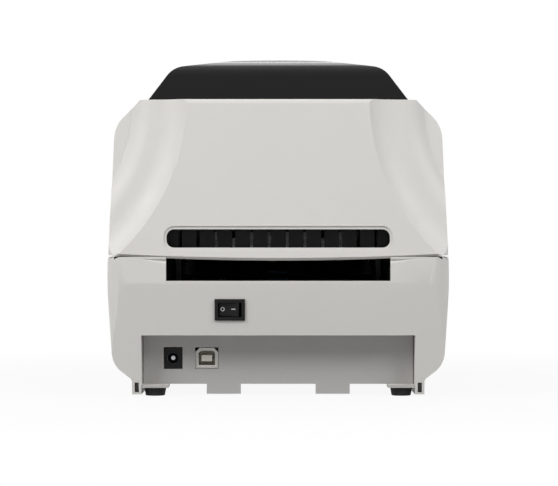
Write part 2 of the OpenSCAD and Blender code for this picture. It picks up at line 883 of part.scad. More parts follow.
// A spur gear across X, with its first tooth turned to an angle.
module spur(x0, x1, y, z, teeth, turn) {
    translate([0, y, z])
        along_x(x0, x1)
        rotate(turn)
        polygon(gear_path(gear_m, teeth));
}
module motor_pinion() {
    x0 = train_in + gear_w + gear_gap;
    color([0.78, 0.66, 0.38])
        union() {
            spur(x0, x0 + gear_w, motor_y, motor_z, motor_teeth, reach_angle);
            rod_x(bay_half - 11, x0 + gear_w + 0.8, motor_y, motor_z, stud_r);
        }
}
module idler_stud() {
    cap_x = train_in + 2 * gear_w + gear_gap + 0.4;
    color(steel)
        union() {
            rod_x(bay_half, cap_x, idler_y, idler_z, stud_r);
            rod_x(cap_x, cap_x + 1, idler_y, idler_z, 3.6);
        }
}
module idler_gear() {
    x1 = train_in + gear_w + gear_gap;
    color(gear_white)
        difference() {
            union() {
                spur(train_in, x1, idler_y, idler_z, idler_small_teeth, platen_angle);
                spur(x1, x1 + gear_w, idler_y, idler_z, idler_teeth, reach_angle + 180 + 180 / idler_teeth);
            }
            rod_x(train_in - over, x1 + gear_w + over, idler_y, idler_z, stud_r + run_fit);
            for (a = [0:60:300])
                rod_x(x1 - over, x1 + gear_w + over, idler_y + 12 * cos(a), idler_z + 12 * sin(a), 2.6);
        }
}

module platen_rubber() {
    color(black)
        difference() {
            rod_x(-platen_half, platen_half, platen_y, platen_z, platen_r);
            rod_x(-platen_half - over, platen_half + over, platen_y, platen_z, platen_shaft_r + seat_fit);
        }
}
module platen_shaft() {
    color(steel)
        rod_x(-frame_out - 3, train_in + gear_w, platen_y, platen_z, platen_shaft_r);
}
module platen_gear() {
    color(gear_white)
        difference() {
            spur(train_in, train_in + gear_w, platen_y, platen_z, platen_teeth,
                platen_angle + 180 + 180 / platen_teeth);
            rod_x(train_in - over, train_in + gear_w + over, platen_y, platen_z, platen_shaft_r + seat_fit);
        }
}

module bushing(x0, flange_x) {
    color(gear_white)
        difference() {
            union() {
                rod_x(x0, x0 + frame_wall, platen_y, platen_z, bushing_r);
                rod_x(flange_x, flange_x + 0.8, platen_y, platen_z, 6.8);
            }
            rod_x(x0 - 2, x0 + frame_wall + 2, platen_y, platen_z, platen_shaft_r + run_fit);
        }
}
module bushing_left() {
    bushing(bay_half, frame_out);
}
module bushing_right() {
    bushing(-frame_out, -frame_out - 0.8);
}

module head_ceramic() {
    color([0.86, 0.84, 0.78])
        block([-ear_out + 1, platen_y - 6.5, head_low_z],
            [ear_out - 1, platen_y + 5.5, head_low_z + ceramic_t]);
}

// Aluminium body of the head, finned along its top.
module head_sink() {
    color(steel * 0.9)
        difference() {
            block([-ear_out, platen_y - 6.5, head_low_z + ceramic_t],
                [ear_out, platen_y + 18, bracket_z]);
            for (y = [platen_y + 6:3:platen_y + 15])
                block([-ear_out - over, y, head_low_z + ceramic_t - over],
                    [ear_out + over, y + 1.4, bracket_z - 2]);
        }
}

module head_bracket() {
    window_top = cam_z + cam_r + free_gap;
    color(steel)
        difference() {
            union() {
                block([-ear_out, platen_y - 6.5, bracket_z],
                    [ear_out, head_pivot_y - 4, bracket_z + bracket_t]);
                both_x()
                    along_x(ear_out - bracket_t, ear_out)
                    polygon(rounded([
                        [platen_y + 5, bracket_z, 0],
                        [platen_y + 5, window_top + 3.2, 4],
                        [head_pivot_y + 5, window_top + 3.2, 5],
                        [head_pivot_y + 5, head_pivot_z - 5, 5],
                        [head_pivot_y - 4, bracket_z, 0]
                    ]));
            }
            rod_x(-ear_out - over, ear_out + over, head_pivot_y, head_pivot_z, pivot_r + run_fit);
            block([-ear_out - over, cam_y - cam_r - cam_throw - 0.8, bracket_z + bracket_t + 0.4],
                [ear_out + over, cam_y + cam_r + cam_throw + 0.8, window_top]);
            for (x = [-36, -12, 12, 36])
                translate([x, platen_y + 12, bracket_z - over])
                    cylinder(h = bracket_t + 2 * over, r = 1.7);
        }
}
module head_pivot() {
    color(steel)
        rod_x(-frame_out - 0.8, frame_out + 0.8, head_pivot_y, head_pivot_z, pivot_r);
}

// Steel cross member that the head springs push against.
module head_bridge() {
    color(steel)
        union() {
            block([-bay_half, cam_y - 15, bridge_z], [bay_half, cam_y + 6, bridge_z + bracket_t]);
            both_x()
                block([bay_half - 1.4, cam_y - 15, cam_z + 6], [bay_half, cam_y + 6, bridge_z]);
            block([-bay_half, cam_y - 15, bridge_z - 4], [bay_half, cam_y - 13.8, bridge_z]);
        }
}

// A coil spring, drawn as a ringed sleeve.
module head_spring(x) {
    low = bracket_z + bracket_t;
    wire = 0.8;
    coils = 7;
    pitch = (bridge_z - low - 2 * wire) / (coils - 1);
    color(steel)
        translate([x, platen_y + 7, low])
        rotate_extrude()
        union() {
            for (i = [0:coils - 1])
                translate([4, wire + i * pitch])
                    circle(r = wire);
            translate([3.6, wire])
                square([0.6, (coils - 1) * pitch]);
        }
}
module head_spring_left() {
    head_spring(30);
}
module head_spring_right() {
    head_spring(-30);
}

module cam_shaft() {
    color(steel)
        union() {
            rod_x(-frame_out - 5.2, frame_out + 1.5, cam_y, cam_z, cam_shaft_r);
            both_x()
                rod_x(ear_out - bracket_t - 1.2, ear_out + 1.2, cam_y + cam_throw, cam_z, cam_r);
        }
}

// Lever that turns the cams, lying back when the head is down.
module head_lever() {
    x0 = -frame_out - 4.2;
    color([0.10, 0.42, 0.26])
        difference() {
            union() {
                translate([0, cam_y, cam_z])
                    along_x(x0, x0 + 3)
                    union() {
                        circle(r = 6);
                        polygon(rounded([
                            [0, -5, 0],
                            [lever_l, -1, 3],
                            [lever_l, 6, 3],
                            [0, 6, 0]
                        ]));
                    }
                translate([0, cam_y, cam_z])
                    along_x(x0 - 7, x0)
                    polygon(rounded([
                        [lever_l - 9, 1.5, 1],
                        [lever_l - 1, 1.5, 1.5],
                        [lever_l - 1, 5, 1.5],
                        [lever_l - 9, 5, 1]
                    ]));
            }
            rod_x(x0 - over, x0 + 3 + over, cam_y, cam_z, cam_shaft_r + seat_fit);
        }
}

// Teeth of one guide rack, with a gap centred on the pinion at rest.
module rack_outline(x0, x1) {
    pitch = PI * rack_m;
    half = pitch / 4 - gear_play;
    tip = half - 0.9 * rack_m * tan(pressure_angle);
    root = half + 1.15 * rack_m * tan(pressure_angle);
    low = rack_reach + 1.15 * rack_m;
    first = ceil(x0 / pitch);
    last = floor(x1 / pitch) - 1;
    polygon(concat(
        [[x0, rack_reach + 1.2 * rack_m + rack_back], [x0, low]],
        [for (k = [first:last], p = [[-root, 1.15], [-tip, -0.9], [tip, -0.9], [root, 1.15]])
            [(k + 0.5) * pitch + p[0], rack_reach + p[1] * rack_m]],
        [[x1, low], [x1, rack_reach + 1.2 * rack_m + rack_back]]
    ));
}

// One media guide on the left side of the bay, with its rack and hub pin.
module guide() {
    color(panel_grey * 0.45)
        union() {
            along_x(guide_in, guide_out)
                union() {
                    translate([roll_y, roll_z])
                        circle(r = 24);
                    intersection() {
                        translate([roll_y, roll_z])
                            circle(r = cradle_r - 0.6, $fn = 180);
                        polygon(rounded([
                            [roll_y - 20, roll_z, 0],
                            [roll_y + 20, roll_z, 0],
                            [roll_y + 17, roll_z - 70, 0],
                            [roll_y - 17, roll_z - 70, 0]
                        ]));
                    }
                }
            block([guide_in - 1, roll_y - guide_slot / 2 + free_gap, rack_z],
                [guide_out, roll_y + guide_slot / 2 - free_gap, roll_z - cradle_r + 3]);
            block([guide_in - 2, roll_y - guide_slot / 2 + free_gap, rack_z],
                [guide_out, roll_y + rack_reach + 1.2 * rack_m + rack_back, rack_z + rack_t]);
            translate([0, roll_y, 0])
                along_z(rack_z, rack_z + rack_t)
                rack_outline(-8, guide_out);
            rod_x(guide_in - hub_flange_t - hub_boss_l - 0.6, guide_in, roll_y, roll_z, hub_pin_r);
        }
}
module guide_left() {
    guide();
}
module guide_right() {
    translate([0, 2 * roll_y, 0])
        rotate([0, 0, 180])
        guide();
}
module guide_pinion() {
    color(gear_white)
        translate([0, roll_y, rack_z])
        difference() {
            linear_extrude(rack_t)
                rotate(90)
                polygon(gear_path(rack_m, pinion_teeth));
            translate([0, 0, -over])
                cylinder(h = rack_t + 2 * over, r = 2.5 + run_fit);
        }
}

// Tapered hub that holds one end of the roll's core.
module hub() {
    x0 = guide_in - free_gap - hub_flange_t - hub_boss_l;
    color(panel_grey * 0.6)
        difference() {
            union() {
                rod_x(x0 + hub_boss_l, x0 + hub_boss_l + hub_flange_t, roll_y, roll_z, hub_r);
                translate([x0, roll_y, roll_z])
                    rotate([0, 90, 0])
                    cylinder(h = hub_boss_l, r1 = core_r - 1, r2 = core_r);
            }
            rod_x(x0 - over, guide_in, roll_y, roll_z, hub_pin_r + run_fit);
            for (a = [0:120:240])
                translate([0, roll_y, roll_z])
                    rotate([a, 0, 0])
                    block([x0 - over, 6.2, -1.5], [x0 + hub_boss_l, 14, 1.5]);
        }
}
module hub_left() {
    hub();
}
module hub_right() {
    mirror([1, 0, 0])
        hub();
}

module sensor_carriage() {
    under = deck_z - deck_t - free_gap;
    color([0.16, 0.42, 0.60])
        union() {
            block([-sensor_l / 2, sensor_y - 7, under - 4], [sensor_l / 2, sensor_y + 7, under]);
            block([-sensor_l / 2 + 1, sensor_y - sensor_neck / 2, under],
                [sensor_l / 2 - 1, sensor_y + sensor_neck / 2, deck_z + free_gap]);
            block([-sensor_l / 2, sensor_y - 5, deck_z + free_gap],
                [sensor_l / 2, sensor_y + 5, deck_z + free_gap + 1.2]);
        }
}

module hinge_pin(x0) {
    color(steel)
        rod_x(x0, x0 + arm_w + 2 * knuckle_w + 1.4, hinge_y, hinge_z, hinge_pin_r);
}
module hinge_pin_left() {
    hinge_pin(arm_in - knuckle_w - 0.7);
}
module hinge_pin_right() {
    hinge_pin(-arm_in - arm_w - knuckle_w - 0.7);
}

// The lid as a solid, drawn in by an inset on every side.
module lid_solid(inset) {
    low = part_z - 12;
    section = both_sides([
        [lid_side_x, low, 0],
        [shoulder_x, shoulder_z, shoulder_round],
        [rim_x, rim_z, 0]
    ]);
    side = [
        [lid_rear_y + 12 * tan(lean), low, 0],
        [rim_rear_y, rim_z, 3],
        [rim_front_y, rim_z, 24],
        [lid_brow_y, lid_brow_z, 20],
        [lid_front_y, low, 0]
    ];
    plan = both_sides([
        [half_w, rear_y, rear_corner],
        [half_w, front_y, front_corner]
    ]);
    intersection() {
        along_y(front_y, rear_y)
            offset(delta = -inset)
            polygon(rounded(section));
        along_x(-half_w, half_w)
            offset(delta = -inset)
            polygon(rounded(side));
        along_z(low, rim_z)
            offset(delta = -inset)
            polygon(rounded(plan));
    }
}

// Cutter for the hollow flank beside the rear panel, set deeper by a depth.
module scoop(depth) {
    span = scoop_hollow * sin(scoop_slope);
    sink = scoop_hollow * (1 - cos(scoop_slope));
    roll_r = 18;
    scoop_roll = 46;
    rise = 20;
    steps = 8;
    both_x()
        on_lid_face(0, part_z)
        translate([160.6, depth, 82.5])
        rotate([90, 0, 0])
        rotate_extrude($fn = 180)
        polygon(concat(
            [[0, -rise], [scoop_r + rise / tan(scoop_slope), -rise]],
            [for (i = [0:steps]) let (a = scoop_slope * (1 - i / steps))
                [scoop_r - span + scoop_hollow * sin(a), sink - scoop_hollow * (1 - cos(a))]],
            [for (i = [1:steps]) let (a = scoop_roll * i / steps)
                [scoop_r - span - roll_r * sin(a), sink + roll_r * (1 - cos(a))]],
            [[0, sink + roll_r * (1 - cos(scoop_roll))]]
        ));
}

// Everything below a wide curve that sags in the middle, along a length of Y.
module under_curve(r, l) {
    translate([0, 0, r])
        difference() {
            block([-half_w - over, -l / 2, -r - 14], [half_w + over, l / 2, 10 - r]);
            translate([0, l / 2 + over, 0])
                rotate([90, 0, 0])
                cylinder(h = l + 2 * over, r = r, $fn = 360);
        }
}

// Room below the lid: a smiling lower edge behind, a level one in front.
module below_lid() {
    translate([0, 0, smile_low_z])
        under_curve(smile_r, case_depth + 2 * over);
    translate([0, lid_rear_y, smile_low_z + lip_chamfer])
        rotate([45, 0, 0])
        under_curve(smile_r * sqrt(2), 16);
    block([-half_w - over, front_y - over, part_z - 14], [half_w + over, 0, part_z + 0.2]);
}

module lid_shell() {
    color(cover_grey)
        difference() {
            union() {
                difference() {
                    lid_solid(0);
                    scoop(0);
                    difference() {
                        lid_solid(wall);
                        scoop(-wall);
                    }
                }
                intersection() {
                    lid_solid(0);
                    both_x()
                        for (x = [arm_in - knuckle_w - 0.4, arm_in + arm_w + 0.4])
                            block([x, hinge_y, hinge_z - 2],
                                [x + knuckle_w, rear_y, hinge_z + knuckle_r]);
                }
                both_x()
                    for (x = [arm_in - knuckle_w - 0.4, arm_in + arm_w + 0.4])
                        rod_x(x, x + knuckle_w, hinge_y, hinge_z, knuckle_r);
            }
            below_lid();
            both_x()
                rod_x(arm_in - knuckle_w - over, arm_in + arm_w + knuckle_w + over,
                    hinge_y, hinge_z, hinge_pin_r + run_fit);
            slot_cut();
            block([-bay_half - 2, front_y - over, part_z - 10], [bay_half + 2, front_y + 12, exit_z]);
            block([-window_half + 9, rim_front_y + 14, rim_z - 10],
                [window_half - 9, rim_rear_y - 16, rim_z + over]);
        }
}

// Rounded slot with a soft sunken lip, through the lid's rear face.
module slot_cut() {
    lip = 1.5;
    round = 4;
    on_lid_face(0, slot_z) {
        along_y(-8, over)
            polygon(rounded(slot_path(slot_w, slot_h, round)));
        along_y(-0.7, over)
            polygon(rounded(slot_path(slot_w + 2 * lip, slot_h + 2 * lip, round + lip)));
    }
}
function slot_path(w, h, r) = both_sides([[w / 2, -h / 2, r], [w / 2, h / 2, r]]);

// Crowned dark window as a solid, drawn in by an inset on every side.
module window_solid(inset) {
    rear = rim_rear_y - 7;
    section = both_sides([
        [window_half, rim_z - 60, 0],
        [window_half, rim_z - 0.3, 0],
        [window_half - 15.7, window_z - 3.5, 27]
    ]);
    side = [
        [rear, rim_z - 60, 0],
        [rear, rim_z, 0],
        [rear - 17, window_z - 6, 26],
        [rear - 75, window_z + 1.2, 160],
        [rim_front_y + 20, window_z - 4.2, 60],
        [lid_brow_y + 2.5, lid_brow_z + 10.5, 2],
        [lid_brow_y + 12, lid_brow_z + 1, 0],
        [lid_brow_y + 12, rim_z - 60, 0]
    ];
    intersection() {
        along_y(front_y, rear_y)
            offset(delta = -inset)
            polygon(rounded(section));
        along_x(-half_w, half_w)
            offset(delta = -inset)
            polygon(rounded(side));
        along_y(front_y, rear_y)
            translate([0, window_z - inset - 437])
            circle(r = 437, $fn = 360);
    }
}

module lid_window() {
    color(black)
        difference() {
            window_solid(0);
            window_solid(window_wall);
            lid_solid(0);
        }
}

// Open grid of upright fins behind the lid's rear slot.
module lid_grid() {
    pitch = 9.3;
    y0 = hinge_y - 11;
    low = slot_z - slot_h / 2 - 3;
    high = slot_z + slot_h / 2 + 3;
    color(black)
        union() {
            for (i = [-6:6])
                block([i * pitch - 0.8, y0, low], [i * pitch + 0.8, y0 + 10, high]);
            block([-bay_half - 2, y0, high - 1.5], [bay_half + 2, hinge_y + 1.6, high]);
            block([-bay_half - 2, y0, low], [bay_half + 2, y0 + 10, low + 1.5]);
            both_x()
                block([bay_half + 0.4, y0, low], [bay_half + 2, hinge_y + 1.6, high]);
        }
}

lower_cover();
base_chassis();
foot_rear_left();
foot_rear_right();
foot_front_left();
foot_front_right();
media_frame();
front_cover();
tear_bar();
key_board();
status_lens();
feed_button();
switch_housing();
switch_rocker();
main_board();
board_parts();
jack_body();
jack_pin();
usb_shell();
usb_tongue();
stepper_motor();
motor_pinion();
idler_stud();
idler_gear();
platen_rubber();
platen_shaft();
platen_gear();
bushing_left();
bushing_right();
head_ceramic();
head_sink();
head_bracket();
head_pivot();
head_bridge();
head_spring_left();
head_spring_right();
cam_shaft();
head_lever();
guide_left();
guide_right();
guide_pinion();
hub_left();
hub_right();
sensor_carriage();
hinge_pin_left();
hinge_pin_right();
lid_shell();
lid_window();
lid_grid();
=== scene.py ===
import json
import math
import random

import bmesh
import bpy
from mathutils import Matrix, Vector
from mathutils.bvhtree import BVHTree


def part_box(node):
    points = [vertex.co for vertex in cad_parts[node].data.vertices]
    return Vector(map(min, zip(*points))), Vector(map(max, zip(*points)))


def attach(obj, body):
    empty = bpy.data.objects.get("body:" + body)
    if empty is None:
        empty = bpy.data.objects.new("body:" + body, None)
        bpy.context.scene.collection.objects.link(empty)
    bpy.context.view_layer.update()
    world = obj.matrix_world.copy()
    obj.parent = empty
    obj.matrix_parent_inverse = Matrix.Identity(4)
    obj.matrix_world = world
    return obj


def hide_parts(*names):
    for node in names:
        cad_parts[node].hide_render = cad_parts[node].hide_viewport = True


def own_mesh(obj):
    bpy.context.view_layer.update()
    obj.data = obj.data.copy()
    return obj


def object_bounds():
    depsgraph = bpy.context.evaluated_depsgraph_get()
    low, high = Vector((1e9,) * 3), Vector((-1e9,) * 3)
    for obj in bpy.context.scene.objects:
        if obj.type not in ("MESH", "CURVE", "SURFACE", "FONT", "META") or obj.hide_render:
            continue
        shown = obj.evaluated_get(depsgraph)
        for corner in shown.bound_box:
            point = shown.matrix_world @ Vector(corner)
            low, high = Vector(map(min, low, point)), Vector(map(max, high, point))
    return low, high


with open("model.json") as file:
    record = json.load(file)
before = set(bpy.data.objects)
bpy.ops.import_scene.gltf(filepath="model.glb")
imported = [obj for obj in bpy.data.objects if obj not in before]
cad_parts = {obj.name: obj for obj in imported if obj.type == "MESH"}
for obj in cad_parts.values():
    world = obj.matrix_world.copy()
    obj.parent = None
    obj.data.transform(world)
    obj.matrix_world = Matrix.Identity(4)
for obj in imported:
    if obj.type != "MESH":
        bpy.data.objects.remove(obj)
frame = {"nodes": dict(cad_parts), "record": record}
nodes = frame["nodes"]
cad_low, cad_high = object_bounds()

MM = 0.001

# The case's half width and its rear, in mm, from the frame. The front is as far off as the rear.
HALF_W = round(cad_high[0] / MM, 1)
REAR_Y = round(cad_high[1] / MM, 1)


# ---------------------------------------------------------------- shader nodes

def srgb(code):
    """A colour such as "d2d1ce" as the linear RGBA that shaders take."""
    values = [int(code[i:i + 2], 16) / 255 for i in (0, 2, 4)]
    linear = [v / 12.92 if v <= 0.04045 else ((v + 0.055) / 1.055) ** 2.4 for v in values]
    return (*linear, 1.0)


def shade(colour, factor):
    """The colour with its brightness multiplied."""
    return (*(min(1.0, c * factor) for c in colour[:3]), 1.0)


def add_node(tree, kind, **values):
    """A shader node of a kind, with its settings."""
    made = tree.nodes.new("ShaderNode" + kind)
    for key, value in values.items():
        setattr(made, key, value)
    return made


def seen(tree):
    """1 for camera, glossy and transmission rays, which see the background, and 0 for the rest."""
    path = add_node(tree, "LightPath")
    value = path.outputs["Is Camera Ray"]
    for name in ("Is Glossy Ray", "Is Transmission Ray"):
        either = add_node(tree, "Math", operation="MAXIMUM")
        tree.links.new(value, either.inputs[0])
        tree.links.new(path.outputs[name], either.inputs[1])
        value = either.outputs["Value"]
    return value


class Paint:
    """A node material around one Principled shader, built by short calls. Sizes are in metres."""

    def __init__(self, name, **inputs):
        self.material = bpy.data.materials.new(name)
        self.material.use_nodes = True
        self.tree = self.material.node_tree
        self.shader = self.tree.nodes["Principled BSDF"]
        for key, value in inputs.items():
            self.shader.inputs[key.replace("_", " ")].default_value = value
        self.place = self.node("TexCoord").outputs["Object"]

    def node(self, kind, **values):
        return add_node(self.tree, kind, **values)

    def link(self, source, node, socket):
        """An output to a node's input, given by its name or number."""
        self.tree.links.new(source, node.inputs[socket])

    def stretched(self, scale):
        """Object coordinates scaled by three numbers, for brushed or drawn grain."""
        mapping = self.node("Mapping")
        mapping.inputs["Scale"].default_value = scale
        self.link(self.place, mapping, "Vector")
        return mapping.outputs["Vector"]

    def noise(self, size, detail=2.0, rough=0.5, place=None):
        """Noise whose features are about size across."""
        made = self.node("TexNoise")
        made.inputs["Scale"].default_value = 1 / size
        made.inputs["Detail"].default_value = detail
        made.inputs["Roughness"].default_value = rough
        self.link(place or self.place, made, "Vector")
        return made.outputs["Fac"]

    def cells(self, size):
        """Distance to scattered points about size apart."""
        made = self.node("TexVoronoi")
        made.inputs["Scale"].default_value = 1 / size
        self.link(self.place, made, "Vector")
        return made.outputs["Distance"]

    def spread(self, source, low, high, start=0.3, end=0.7):
        """The source from start to end, mapped to low to high."""
        made = self.node("MapRange")
        limits = {"From Min": start, "From Max": end, "To Min": low, "To Max": high}
        for socket, value in limits.items():
            made.inputs[socket].default_value = value
        self.link(source, made, "Value")
        return made.outputs["Result"]

    def clouds(self, size, detail=2.0, low=0.0, high=1.0):
        """Noise about size across that varies from low to high."""
        return self.spread(self.noise(size, detail), low, high)

    def times(self, first, second):
        """The product of two values."""
        made = self.node("Math", operation="MULTIPLY")
        self.link(first, made, 0)
        self.link(second, made, 1)
        return made.outputs["Value"]

    def blend(self, factor, first, second):
        """First to second by the factor; both are colours."""
        made = self.node("Mix", data_type="RGBA")
        self.link(factor, made, "Factor")
        for socket, value in (("A", first), ("B", second)):
            target = [i for i in made.inputs if i.name == socket and i.type == "RGBA"][0]
            if isinstance(value, tuple):
                target.default_value = value
            else:
                self.tree.links.new(value, target)
        return [o for o in made.outputs if o.type == "RGBA"][0]

    def edges(self, reach):
        """1 at edges within reach, 0 on open faces."""
        bevel = self.node("Bevel", samples=4)
        bevel.inputs["Radius"].default_value = reach
        across = self.node("VectorMath", operation="DOT_PRODUCT")
        self.link(bevel.outputs["Normal"], across, 0)
        self.link(self.node("NewGeometry").outputs["Normal"], across, 1)
        return self.spread(across.outputs["Value"], low=1.0, high=0.0, start=0.8, end=0.995)

    def colour(self, source):
        self.link(source, self.shader, "Base Color")

    def rough(self, source):
        self.link(source, self.shader, "Roughness")

    def bump(self, *layers):
        """Layers of (height, depth, strength), the first one lowest."""
        normal = None
        for height, depth, strength in layers:
            made = self.node("Bump")
            made.inputs["Distance"].default_value = depth
            made.inputs["Strength"].default_value = strength
            self.link(height, made, "Height")
            if normal:
                self.link(normal, made, "Normal")
            normal = made.outputs["Normal"]
        self.link(normal, self.shader, "Normal")


# ---------------------------------------------------------------- materials

def moulded(name, colour, rough=0.5, depth=0.03 * MM, worn=1.08, drift=0.02, gloss=0.4):
    """Injection-moulded plastic with a spark-eroded texture and lightly rubbed edges."""
    grain = 0.45 * MM
    paint = Paint(name, Specular_IOR_Level=gloss)
    slow = paint.clouds(60 * MM, detail=3.0)
    fast = paint.clouds(2 * grain)
    base = paint.blend(slow, shade(colour, 1 - drift), shade(colour, 1 + drift))
    specks = paint.blend(fast, shade(colour, 0.985), shade(colour, 1.015))
    body = paint.blend(paint.clouds(3 * MM, low=0.3, high=0.7), base, specks)
    rubbed = paint.times(paint.edges(0.5 * MM), paint.clouds(9 * MM, detail=4.0, low=0.2, high=0.9))
    paint.colour(paint.blend(rubbed, body, shade(colour, worn)))
    paint.rough(paint.clouds(14 * MM, detail=5.0, low=rough - 0.05, high=rough + 0.07))
    waves = paint.noise(25 * MM, detail=1.0)
    texture = paint.noise(grain, detail=3.0, rough=0.6)
    paint.bump((waves, 0.2 * MM, 0.15), (texture, depth, 0.6))
    return paint.material


def smoked(name, colour):
    """Polished dark plastic: long soft waves, faint scuffs and a little dust."""
    paint = Paint(name, Specular_IOR_Level=0.12, Coat_Weight=0.06, Coat_Roughness=0.12)
    dust = paint.spread(paint.cells(2.2 * MM), low=1.0, high=0.0, start=0.0, end=0.09)
    film = paint.clouds(45 * MM, detail=4.0, high=0.6)
    paint.colour(paint.blend(paint.times(dust, film), colour, shade(colour, 3.0)))
    scuffs = paint.noise(6 * MM, detail=4.0, rough=0.6)
    paint.rough(paint.spread(scuffs, low=0.2, high=0.26))
    waves = paint.noise(40 * MM, detail=1.0)
    hairlines = paint.noise(0.5 * MM)
    paint.bump((waves, 0.15 * MM, 0.15), (hairlines, 0.002 * MM, 0.3))
    return paint.material


def rubber(name, colour, ground=None):
    """Dull rubber with a fine tooth, ground along an axis where a scale is given."""
    paint = Paint(name, Specular_IOR_Level=0.3)
    place = paint.stretched(ground) if ground else None
    tooth = paint.noise(0.35 * MM, detail=3.0, rough=0.6, place=place)
    haze = paint.clouds(8 * MM, detail=4.0)
    paint.colour(paint.blend(haze, shade(colour, 0.85), shade(colour, 1.25)))
    paint.rough(paint.spread(tooth, low=0.62, high=0.85))
    paint.bump((tooth, 0.05 * MM, 0.7))
    return paint.material


def metal(name, colour, rough, drawn=(1, 1, 12), marks=2 * MM):
    """Metal with a drawn grain, cloudy plating and brighter rubbed edges."""
    paint = Paint(name, Metallic=1.0)
    grain = paint.noise(marks, detail=4.0, rough=0.6, place=paint.stretched(drawn))
    body = paint.blend(paint.clouds(12 * MM, detail=4.0), shade(colour, 0.75), colour)
    paint.colour(paint.blend(paint.edges(0.3 * MM), body, shade(colour, 1.2)))
    paint.rough(paint.spread(grain, low=rough - 0.07, high=rough + 0.12))
    paint.bump((grain, 0.01 * MM, 0.4))
    return paint.material


def solder_mask(name, colour):
    """Green board: copper tracks under the mask, with small bright pads."""
    paint = Paint(name, Specular_IOR_Level=0.5)
    tracks = paint.node("TexBrick")
    sizes = {"Scale": 1.0, "Mortar Size": 0.35 * MM, "Brick Width": 9 * MM, "Row Height": 1.6 * MM}
    for socket, value in sizes.items():
        tracks.inputs[socket].default_value = value
    paint.link(paint.place, tracks, "Vector")
    patches = paint.spread(paint.noise(10 * MM), low=0.0, high=1.0, start=0.45, end=0.5)
    lines = paint.times(tracks.outputs["Fac"], patches)
    body = paint.blend(lines, colour, shade(colour, 1.9))
    pads = paint.spread(paint.cells(3.1 * MM), low=1.0, high=0.0, start=0.12, end=0.16)
    paint.colour(paint.blend(pads, body, srgb("b9b6a4")))
    paint.rough(paint.clouds(5 * MM, detail=3.0, low=0.3, high=0.45))
    paint.bump((lines, 0.03 * MM, 0.5))
    return paint.material


def glazed(name, colour):
    """Alumina plate under a glassy, faintly mottled glaze."""
    paint = Paint(name, Specular_IOR_Level=0.6)
    mottle = paint.clouds(1.2 * MM, detail=4.0)
    paint.colour(paint.blend(mottle, shade(colour, 0.93), colour))
    paint.rough(paint.clouds(3 * MM, detail=3.0, low=0.2, high=0.4))
    paint.bump((mottle, 0.01 * MM, 0.3))
    return paint.material


def clear(name, colour):
    """Tinted light pipe."""
    paint = Paint(name, Transmission_Weight=0.55, Roughness=0.2, IOR=1.49)
    paint.colour(paint.blend(paint.clouds(2 * MM, detail=3.0), shade(colour, 0.9), colour))
    paint.bump((paint.noise(1.5 * MM), 0.01 * MM, 0.3))
    return paint.material


def printed(name, colour):
    """Pad-printed ink, a little uneven."""
    paint = Paint(name, Specular_IOR_Level=0.3)
    paint.colour(paint.blend(paint.clouds(0.4 * MM, detail=3.0), shade(colour, 0.85), colour))
    paint.rough(paint.clouds(0.6 * MM, low=0.45, high=0.6))
    paint.bump((paint.noise(0.2 * MM), 0.005 * MM, 0.4))
    return paint.material


# Each finish: what makes it, its colour, and what differs from the usual
FINISHES = {
    "cover_plastic": (moulded, "d4d2ce", {}),
    "chassis_plastic": (moulded, "b3b1af", {"rough": 0.55}),
    "frame_plastic": (moulded, "181818", {"worn": 1.5, "drift": 0.06, "gloss": 0.16}),
    "panel_plastic": (moulded, "353536", {"worn": 1.4, "drift": 0.05}),
    "window_plastic": (smoked, "0b0b0c", {}),
    "foot_rubber": (rubber, "1c1c1c", {}),
    "platen_rubber": (rubber, "232324", {"ground": (0.1, 1, 1)}),
    "steel": (metal, "b4b6b9", {"rough": 0.34}),
    "motor_metal": (metal, "8d9094", {"rough": 0.4, "drawn": (12, 1, 1)}),
    "brass": (metal, "c9a65a", {"rough": 0.25, "drawn": (1, 6, 6)}),
    "gear_plastic": (moulded, "e4e0d3", {"rough": 0.4, "depth": 0.01 * MM, "worn": 0.93}),
    "board": (solder_mask, "1c5a35", {}),
    "port_plastic": (moulded, "dedcd4", {"rough": 0.4, "depth": 0.01 * MM}),
    "ceramic": (glazed, "d8d2c4", {}),
    "heat_sink": (metal, "c2c4c7", {"rough": 0.35, "drawn": (0.1, 1, 1), "marks": 1 * MM}),
    "lever_plastic": (moulded, "2c7a4c", {"rough": 0.4}),
    "guide_plastic": (moulded, "4a4a4b", {"rough": 0.45, "worn": 1.3}),
    "sensor_plastic": (moulded, "2f6190", {"rough": 0.45}),
    "lens": (clear, "8fd6a0", {}),
    "mark_ink": (printed, "d9d9d6", {}),
    "contact_gilt": (metal, "d9b766", {"rough": 0.22, "drawn": (1, 8, 1)}),
    "port_nickel": (metal, "a9a9a7", {"rough": 0.42}),
    "jack_nickel": (metal, "4c4c4e", {"rough": 0.45}),
    "chip_black": (moulded, "262628", {"rough": 0.45, "worn": 1.3}),
}
materials = {
    name: make(name, srgb(code), **options) for name, (make, code, options) in FINISHES.items()
}


# ---------------------------------------------------------------- CAD nodes

# How wide each node's edges are rounded, in mm
EDGE_WIDTHS = {
    "base_chassis": 0.3, "lower_cover": 0.35, "lid_shell": 0.35, "front_cover": 0.3, "tear_bar": 0.05,
    "media_frame": 0.3, "foot_front_left": 0.3, "foot_front_right": 0.3, "foot_rear_left": 0.3,
    "foot_rear_right": 0.3, "feed_button": 0.3, "key_board": 0.08, "main_board": 0.08,
    "board_parts": 0.2, "switch_housing": 0.12, "switch_rocker": 0.15, "jack_body": 0.12,
    "usb_shell": 0.08, "usb_tongue": 0.1, "stepper_motor": 0.25, "head_bracket": 0.2,
    "head_bridge": 0.2, "head_sink": 0.12, "head_ceramic": 0.08, "head_lever": 0.4,
    "guide_left": 0.25, "guide_right": 0.25, "hub_left": 0.25, "hub_right": 0.25,
    "sensor_carriage": 0.25,
}
# A node whose finish isn't its slot's
NODE_FINISHES = {"usb_shell": "port_nickel"}
